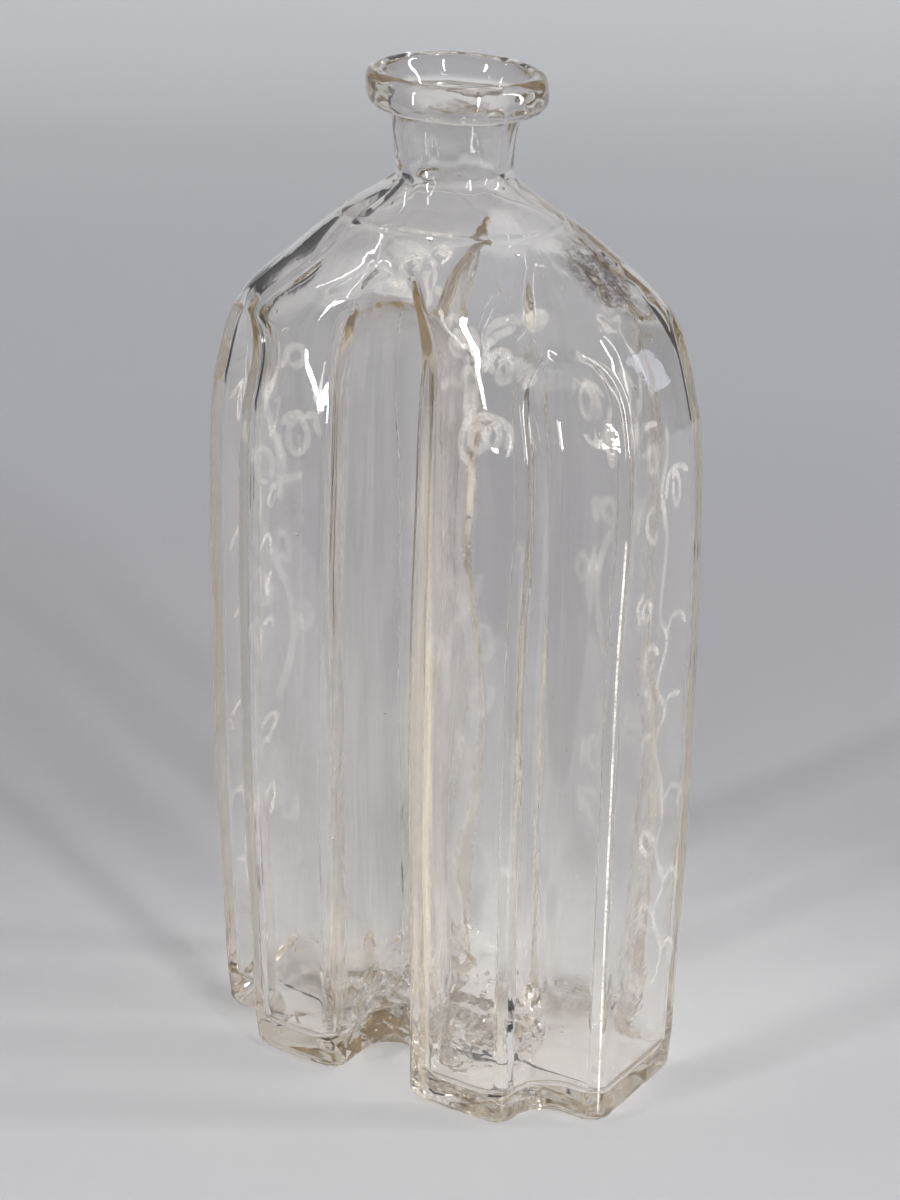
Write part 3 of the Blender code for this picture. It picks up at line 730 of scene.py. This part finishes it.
RIGHT_SPRIG = [
    [(16.9, 190.1), (16.8, 192.4), (18.1, 193.5), (19.8, 192.6)],
    [(21.6, 192), (24.1, 189.5), (23.7, 186.1), (21.9, 185)],
    [(17.6, 189), (19, 186.3), (20.9, 185.5)],
    [(19, 191.2), (18.8, 189.2), (20.4, 187.8), (21, 189.7), (19, 191.2)],
    [(26.7, 183), (26.7, 186.5), (26.5, 189), (26.4, 191.8), (27.7, 193.4), (30.1, 194),
     (32.3, 194.1), (33.6, 194.7)],
    [(32.8, 195.5), (34.7, 195), (35.8, 193.3), (34.6, 192.6), (33.2, 193.9), (32.8, 195.5)],
    [(26.8, 188.6), (28.2, 190.8), (29.9, 191.8), (31.5, 192.6)],
    [(28.5, 182.9), (27.7, 185.4), (29, 187.7), (31, 187.7), (32.7, 186.4), (34.3, 186.1),
     (35.8, 184.9), (36.1, 182.5), (35.3, 180.4)],
    [(29.8, 184.8), (30.9, 186.6), (32.1, 184.8), (31.8, 182.2), (30.2, 181.6), (29.8, 184.8)],
    [(32.5, 185.1), (34.1, 184.2), (34.2, 181.9)],
    [(22.3, 179.8), (21.9, 181.9), (23, 183.6), (24.6, 182.7), (25.3, 180.7), (24.5, 178.4),
     (23.2, 177.7), (22.3, 179.8)],
    [(22.4, 177.8), (22.8, 175), (23.2, 172), (22.6, 169.2)],
    [(25.3, 177.8), (24.5, 174.8), (23.9, 171.9)],
    [(24.1, 161.8), (22.3, 163.7), (21.5, 166), (21.8, 168.8), (22.7, 171.2), (25.1, 172.7),
     (27.9, 173.6), (30.7, 173.2), (33, 171.6), (33.4, 169.2), (32.6, 166.9)],
    [(25.6, 171.5), (24, 169), (24.4, 166.3), (26.4, 165.6), (27.5, 168.2), (26.8, 170.8),
     (25.6, 171.5)],
    [(28.9, 172), (27.9, 169.6), (28.5, 167.1), (30.2, 167.1), (31, 169.9), (29.9, 172),
     (28.9, 172)],
    [(24.1, 161.8), (24.9, 158.7), (24.3, 154.1), (25.7, 149.3)],
    [(15.8, 177), (17.1, 179), (19.5, 179.8), (21.7, 178.8)]]
LOW_SPRIG = [
    [(2.3, 42), (-0.4, 34.5), (-4.7, 27.8), (-6.5, 19.1), (-5.3, 9.8), (-2, 0)],
    [(-3.2, 40.8), (-5.1, 37.7), (-3.9, 34.2), (-1.4, 35.7), (-1.6, 39.3), (-3.2, 40.8)],
    [(3.4, 30.6), (0.6, 27), (1.2, 22.7), (4, 22.9), (5.1, 27.1), (3.4, 30.6)],
    [(-9.8, 25.5), (-11, 21.4), (-9.1, 19), (-7.4, 22.2), (-9.8, 25.5)],
    [(1.5, 8), (4.6, 11.5), (5.2, 15.5), (2.6, 16.5), (0.4, 13)]]
VINE = [
    [(4.3, 71.6), (2.1, 83.9), (-1.5, 92.8), (2.9, 99.8), (-1.5, 106.8), (2.2, 117.2),
     (-1.8, 125.4), (-0.6, 142.2), (-3.7, 153.7), (-1.6, 160.6), (-0.7, 168.7)],
    [(1.5, 155.6), (1.6, 152.3), (3.2, 149.2), (4.4, 151.9), (3.8, 155.4), (1.5, 157.9),
     (1.5, 155.6)],
    [(-1.9, 152), (-0.3, 157.7), (4.3, 158.2), (8.1, 155.9)],
    [(-2.8, 152.3), (-2.1, 148.6), (-2.3, 145.8)],
    [(-6.9, 166.3), (-9.1, 165.1), (-8.8, 161.4), (-6.7, 159.9), (-5.8, 162.3), (-6.9, 166.3)],
    [(-6.6, 151.6), (-9.6, 150.7), (-9.3, 146.2), (-6.5, 143.4), (-4.9, 145.9)],
    [(-7.8, 130.3), (-9.7, 128.1), (-8.1, 125.2), (-6, 126.9), (-7.8, 130.3)],
    [(-10.7, 125.4), (-12.1, 129.9), (-9.3, 131.8)],
    [(-7.2, 111.9), (-7.6, 115.9), (-4.7, 118), (-1.2, 114.8)],
    [(1.2, 118.3), (4, 122.2), (8.2, 121.9), (10.4, 118.8)],
    [(3.2, 100.9), (4.9, 102.8), (9.7, 101.8)],
    [(-7.4, 108.5), (-4.4, 105), (-5.1, 102.3)],
    [(-7.4, 93.3), (-5.9, 96.2), (-2.6, 95.4)],
    [(-9.7, 169.7), (-7.4, 170.6), (-4.3, 169.9)],
    [(4.2, 76.7), (8.2, 79), (12.2, 76.1), (10.7, 72.8)],
    [(1.5, 67.1), (-4, 71.9), (-5.6, 69.3), (-1.4, 64.2)],
    [(4.3, 71.6), (1.7, 64.9), (6.4, 55.2), (2.5, 47.7), (7.1, 36.5), (4.2, 28.5)],
    [(6.4, 55.2), (10.5, 56.6), (13.9, 52.5)],
    [(2.5, 47.7), (-3.1, 52.8), (-4.1, 49.3), (-0.5, 45.1)],
    [(7.1, 36.5), (10.8, 38), (13.3, 33.7), (9.5, 32.7)]]


def draw(panel, strokes, width, press, pieces, shift=(0, 0), mirror=1):
    """Cuts a drawing's strokes, moved and mirrored across the panel."""
    for points in strokes:
        moved = [(mirror * u + shift[0], v + shift[1]) for u, v in points]
        cut_stroke(panel, moved, width, press, pieces)


# Where a plan's front right quarter has the crests of the ridges on both sides of its flute.
NEAR_RIDGE, FAR_RIDGE = 39, 63


def rubbed_and_highlit_ridges(out, side, pieces):
    """Pale lines along two ridges of one corner: faint rubbed wear, and on the front right corner's far
    ridge a painted highlight.
    """
    corner = Panel((0.7 * out, 0.7 * side, 0), (0.7 * out, -0.7 * side, 0))
    # Painted highlight: the front right corner's far ridge gets a strong pale line that stands in for
    # light along it; the other lines are faint wear.
    wear_and_highlight_press = 2.6 if (out, side) == (1, -1) else 0.4
    for crest, top, press in ((FAR_RIDGE, 158, wear_and_highlight_press), (NEAR_RIDGE, 150, 0.4)):
        path = []
        for z in range(4, top, 11):
            x, y = body_plan(z * MM, 0.0)[crest]
            path.append((Vector((x * out, -y * side, 0)).dot(corner.across) / MM, z))
        cut_stroke(corner, path, 0.6, press, pieces)


def engrave():
    """Sprigs on the four wide panels, fainter towards the foot, a vine up each narrow face, and pale
    lines on the ridges between them: faint wear, and one painted highlight."""
    pieces = []
    for out in (-1, 1):
        wide, narrow = Panel((0, out, 0), (-out, 0, 0)), Panel((out, 0, 0), (0, out, 0))
        draw(wide, LEFT_SPRIG, 2.2, 0.45, pieces)
        draw(wide, RIGHT_SPRIG, 2.3, 0.7, pieces)
        for side in (-1, 1):
            draw(wide, LOW_SPRIG, 2.6, 0.3, pieces, (side * 27 - 1, 96), side)
            draw(wide, LOW_SPRIG, 2.6, 0.2, pieces, (side * 26, 44), -side)
        draw(narrow, VINE, 1.9, 0.75, pieces)
        for side in (-1, 1):
            rubbed_and_highlit_ridges(out, side, pieces)
    deselect()
    for piece in pieces:
        piece.select_set(True)
    bpy.context.view_layer.objects.active = pieces[0]
    bpy.ops.object.join()
    engraving_and_ridge_highlight = bpy.context.object
    engraving_and_ridge_highlight.name = "engraving_and_ridge_highlight"
    bpy.ops.object.shade_smooth()
    engraving_and_ridge_highlight.data.materials.clear()
    engraving_and_ridge_highlight.data.materials.append(engraved_glass())
    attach(engraving_and_ridge_highlight, "root")


engrave()

# Camera, stage and light. All of them aim at one point of the bottle's axis.
TARGET = Vector((0, 0, 118.6 * MM))


def bearing(azimuth, elevation):
    """Direction from the bottle, its azimuth turned from the front towards the right."""
    return Vector((math.sin(azimuth) * math.cos(elevation), -math.cos(azimuth) * math.cos(elevation),
                   math.sin(elevation)))


def aim(obj, towards, distance, roll=0.0):
    """Puts a camera or lamp at a distance from the target, facing it."""
    turn = towards.to_track_quat("Z", "Y").to_matrix().to_4x4() @ Matrix.Rotation(roll, 4, "Z")
    obj.matrix_world = Matrix.Translation(TARGET + towards * distance) @ turn


data = bpy.data.cameras.new("camera")
data.sensor_fit, data.sensor_height, data.lens = "VERTICAL", 36, 97.93
data.shift_y = -0.0125
data.clip_start, data.clip_end = 0.05, 20
camera = bpy.data.objects.new("camera", data)
bpy.context.scene.collection.objects.link(camera)
aim(camera, bearing(AZIMUTH, ELEVATION), DISTANCE, ROLL)
bpy.context.scene.camera = camera


def paper():
    """Seamless studio paper: matt, pale on the table and greyer where it runs back and up, in painted
    shade.
    """
    material, tree = new_material("seamless_paper_painted_shade")
    where = node(tree, "ShaderNodeTexCoord").outputs["Object"]
    back = node(tree, "ShaderNodeVectorMath", {"operation": "DOT_PRODUCT"}, _0=where,
                _1=(-math.sin(AZIMUTH), math.cos(AZIMUTH), 0.0))
    # Its painted tones, each at so many metres behind the bottle: painted shade darkens the paper behind
    # the bottle, darkest in a painted shadow band 0.12 m behind it, and lightens again up the backdrop.
    painted_shade_stops = [(-0.1, "#b3b3b4"), (0.02, "#acacad"), (0.12, "#9a9a9c"), (0.33, "#a0a0a4"),
             (0.5, "#abacaf"), (0.72, "#b5b6b9"), (0.95, "#c6c7c9"), (1.3, "#d4d5d6")]
    first, last = painted_shade_stops[0][0], painted_shade_stops[-1][0]
    share = node(tree, "ShaderNodeMapRange", Value=back.outputs["Value"], From_Min=first, From_Max=last)
    painted_tones = node(tree, "ShaderNodeValToRGB", Fac=share.outputs["Result"])
    ramp = painted_tones.color_ramp
    while len(ramp.elements) < len(painted_shade_stops):
        ramp.elements.new(0.5)
    for stop, (far, colour) in zip(ramp.elements, painted_shade_stops):
        stop.position = (far - first) / (last - first)
        stop.color = linear(colour)
    surface = node(tree, "ShaderNodeBsdfPrincipled", Base_Color=painted_tones.outputs["Color"], Roughness=0.9)
    node(tree, "ShaderNodeOutputMaterial", Surface=surface.outputs["BSDF"])
    return material


def add_sweep():
    """Floor and backdrop in one piece, its back curving up behind the bottle. It ends a little way in
    front of the bottle, so that the glass also mirrors the dark room there."""
    away = Vector((-math.sin(AZIMUTH), math.cos(AZIMUTH), 0))
    side = Vector((away.y, -away.x, 0))
    low, front, back, radius = -0.2 * MM, -0.22, 0.9, 0.5
    profile = [(front, low), (back, low)]
    for turn in np.linspace(0, math.pi / 2, 17)[1:]:
        profile.append((back + radius * math.sin(turn), low + radius * (1 - math.cos(turn))))
    profile.append((back + radius, 1.6))
    deselect()
    bpy.ops.mesh.primitive_grid_add(x_subdivisions=1, y_subdivisions=len(profile) - 1, size=1)
    sweep = bpy.context.object
    sweep.name = "sweep"
    rows = []
    for far, z in profile:
        for across in (-0.8, 0.8):
            spot = away * far + side * across
            rows.append((spot.x, spot.y, z))
    place(sweep, np.array(rows))
    bpy.ops.object.shade_smooth()
    sweep.data.materials.append(paper())


def area_lamp(name, azimuth, elevation, width, height, power, colour="#ffffff"):
    """An upright lamp 1.4 m from the bottle, on a bearing in degrees measured as the camera's is."""
    light = bpy.data.lights.new(name, "AREA")
    light.shape, light.size, light.size_y, light.energy = "RECTANGLE", width, height, power
    light.color = linear(colour)[:3]
    lamp = bpy.data.objects.new(name, light)
    bpy.context.scene.collection.objects.link(lamp)
    aim(lamp, bearing(math.radians(azimuth), math.radians(elevation)), 1.4)


add_sweep()
# Slim tubes give the shoulder its long white highlights. They end low enough to leave the walls clear.
area_lamp("tube_left", -20, 14.2, 0.07, 1.27, 16.2)
area_lamp("tube_far_left", -60, 36, 0.02, 0.22, 0.5)
area_lamp("tube_right", 62, 18.5, 0.08, 1.15, 15.3)
area_lamp("tube_far_right", 118, 20, 0.08, 1.2, 9)
area_lamp("window_right", 144, 8, 0.09, 0.4, 0.35, "#e2e9f7")

world = bpy.data.worlds.new("studio")
bpy.context.scene.world = world
world.use_nodes = True
background = world.node_tree.nodes["Background"]
background.inputs["Color"].default_value = linear("#c4c4c8")
# The room: pale overhead, dark from the horizon down, which gives clear glass its fine dark edges.
direction = node(world.node_tree, "ShaderNodeTexCoord").outputs["Generated"]
height = node(world.node_tree, "ShaderNodeSeparateXYZ", Vector=direction).outputs["Z"]
room = node(world.node_tree, "ShaderNodeMapRange", {"interpolation_type": "SMOOTHSTEP"}, Value=height,
            From_Min=0.15, From_Max=0.75, To_Min=0.1, To_Max=1.15)
world.node_tree.links.new(room.outputs["Result"], background.inputs["Strength"])

bpy.context.scene.view_settings.view_transform = "Standard"
# A look through the bottle crosses eight walls or more, so light may bend as often as it needs.
bpy.context.scene.cycles.max_bounces = 40
bpy.context.scene.cycles.transmission_bounces = 40
bpy.context.scene.cycles.glossy_bounces = 40
